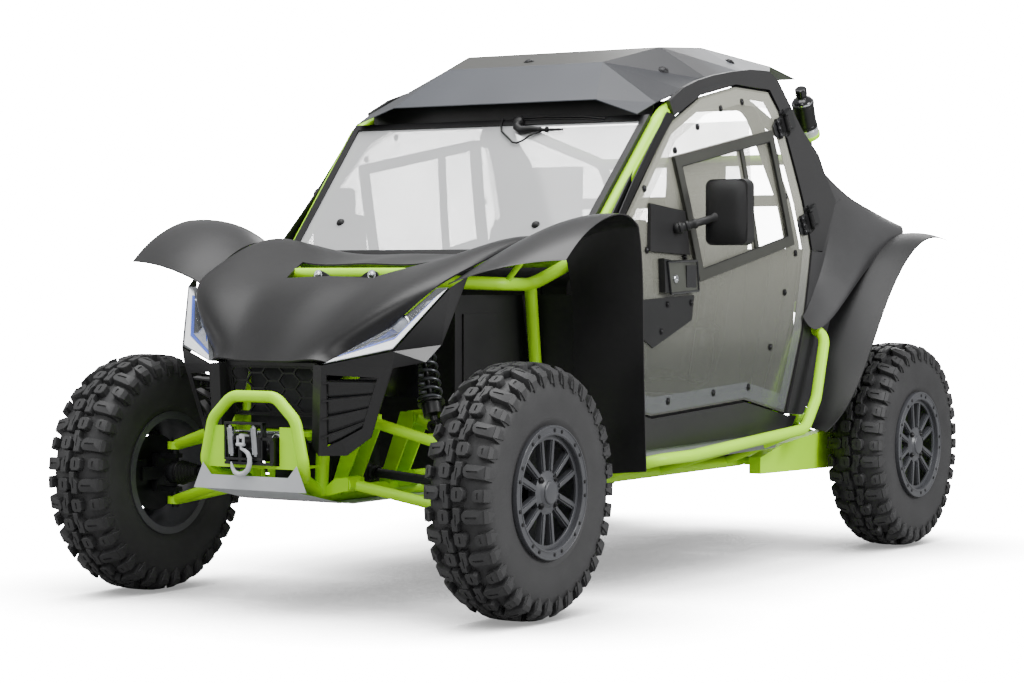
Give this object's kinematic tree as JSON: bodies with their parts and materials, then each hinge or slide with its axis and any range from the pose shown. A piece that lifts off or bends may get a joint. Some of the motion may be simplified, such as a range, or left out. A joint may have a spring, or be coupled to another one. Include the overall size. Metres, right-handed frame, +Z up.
{
  "type": "side by side utility vehicle",
  "caption": "Two-seat side by side utility vehicle with closed cab, clear doors, tubular frame, winch bumper and knobby off-road tyres.",
  "frame": {"origin": "on the ground, midway between the axles and on the centre plane", "axes": "+X to the vehicle's left, +Y to its rear, +Z up"},
  "size_m": [1.71, 3.24, 1.765],
  "materials": {
    "tyre_rubber": "matte moulded rubber",
    "satin_black_metal": "satin black powder coat",
    "cast_knuckle": "as cast",
    "green_paint": "gloss lime powder coat",
    "black_steel": "semi-gloss black",
    "radiator_aluminium": "finned",
    "silver_plate": "satin silver",
    "winch_metal": "cast and plated",
    "dark_body_plastic": "matte moulded",
    "black_plastic": "textured",
    "lamp_lens": "clear",
    "clear_sheet": "clear",
    "seal_rubber": "matte",
    "roof_sheet": "satin powder coat",
    "seat_fabric": "padded",
    "grip_rubber": "grained",
    "canister_metal": "satin",
    "tail_lens": "red lens",
    "window_frame_metal": "satin olive grey"
  },
  "bodies": {
    "chassis": {"arch_liners": "black_plastic", "bull_bar": "green_paint", "canister": "canister_metal", "cargo_bed": "black_plastic", "dashboard": "black_plastic", "door_hinges": "black_steel", "drive_line": "cast_knuckle", "engine_block": "cast_knuckle", "floor_tub": "black_plastic", "front_arms": "green_paint", "front_fascia": "black_plastic", "front_fenders": "dark_body_plastic", "grille": "black_plastic", "headlights": "lamp_lens", "hood": "dark_body_plastic", "main_frame": "green_paint", "pillar_trims": "dark_body_plastic", "quarter_panels": "dark_body_plastic", "radiator": "radiator_aluminium", "rear_bumper": "green_paint", "rear_fenders": "black_plastic", "rear_window": "clear_sheet", "roll_cage": "green_paint", "roof": "roof_sheet", "seats": "seat_fabric", "shocks": "black_steel", "side_bars": "green_paint", "sill_plates": "silver_plate", "sills": "black_plastic", "skid_plates": "silver_plate", "steering_column": "black_steel", "tail_lights": "tail_lens", "trailing_arms": "green_paint", "winch": "winch_metal", "windshield": "clear_sheet", "windshield_frame": "seal_rubber"},
    "knuckle_left": {"knuckle_left": "cast_knuckle"},
    "knuckle_right": {"knuckle_right": "cast_knuckle"},
    "wheel_front_left": {"rim_front_left": "satin_black_metal", "tyre_front_left": "tyre_rubber"},
    "wheel_front_right": {"rim_front_right": "satin_black_metal", "tyre_front_right": "tyre_rubber"},
    "wheel_rear_left": {"rim_rear_left": "satin_black_metal", "tyre_rear_left": "tyre_rubber"},
    "wheel_rear_right": {"rim_rear_right": "satin_black_metal", "tyre_rear_right": "tyre_rubber"},
    "steering_wheel": {"steering_wheel": "grip_rubber"},
    "door_left": {"door_left_frame": "seal_rubber", "door_left_glass": "clear_sheet", "door_left_latch": "black_steel", "door_left_mirror": "black_plastic", "door_left_window": "window_frame_metal"},
    "door_right": {"door_right_frame": "seal_rubber", "door_right_glass": "clear_sheet", "door_right_latch": "black_steel", "door_right_mirror": "black_plastic", "door_right_window": "window_frame_metal"}
  },
  "joints": [
    {"name": "steer_left", "type": "hinge", "parent": "chassis", "child": "knuckle_left", "pos_m": [0.582, -1.25, 0.369], "axis": [0, 0, 1], "range_deg": [-30, 30]},
    {"name": "steer_right", "type": "hinge", "parent": "chassis", "child": "knuckle_right", "pos_m": [-0.582, -1.25, 0.369], "axis": [0, 0, 1], "range_deg": [-30, 30]},
    {"name": "steering_wheel_turn", "type": "hinge", "parent": "chassis", "child": "steering_wheel", "pos_m": [0.29, -0.315, 0.979], "axis": [0, 0.8984, 0.4392], "range_deg": [-255, 255]},
    {"name": "spin_front_left", "type": "hinge", "parent": "knuckle_left", "child": "wheel_front_left", "pos_m": [0.692, -1.25, 0.369], "axis": [1, 0, 0], "continuous": true},
    {"name": "spin_front_right", "type": "hinge", "parent": "knuckle_right", "child": "wheel_front_right", "pos_m": [-0.692, -1.25, 0.369], "axis": [1, 0, 0], "continuous": true},
    {"name": "spin_rear_left", "type": "hinge", "parent": "chassis", "child": "wheel_rear_left", "pos_m": [0.718, 1.25, 0.369], "axis": [1, 0, 0], "continuous": true},
    {"name": "spin_rear_right", "type": "hinge", "parent": "chassis", "child": "wheel_rear_right", "pos_m": [-0.718, 1.25, 0.369], "axis": [1, 0, 0], "continuous": true},
    {"name": "door_left_swing", "type": "hinge", "parent": "chassis", "child": "door_left", "pos_m": [0.63654, 0.733, 1.18], "axis": [-0.0853, -0.3676, 0.9261], "range_deg": [0, 65]},
    {"name": "door_right_swing", "type": "hinge", "parent": "chassis", "child": "door_right", "pos_m": [-0.63654, 0.733, 1.18], "axis": [0.0853, -0.3676, 0.9261], "range_deg": [-65, 0]}
  ],
  "couplings": [
    {"joint": "steer_right", "follows": "steer_left", "ratio": 1},
    {"joint": "steering_wheel_turn", "follows": "steer_left", "ratio": 8.4}
  ]
}
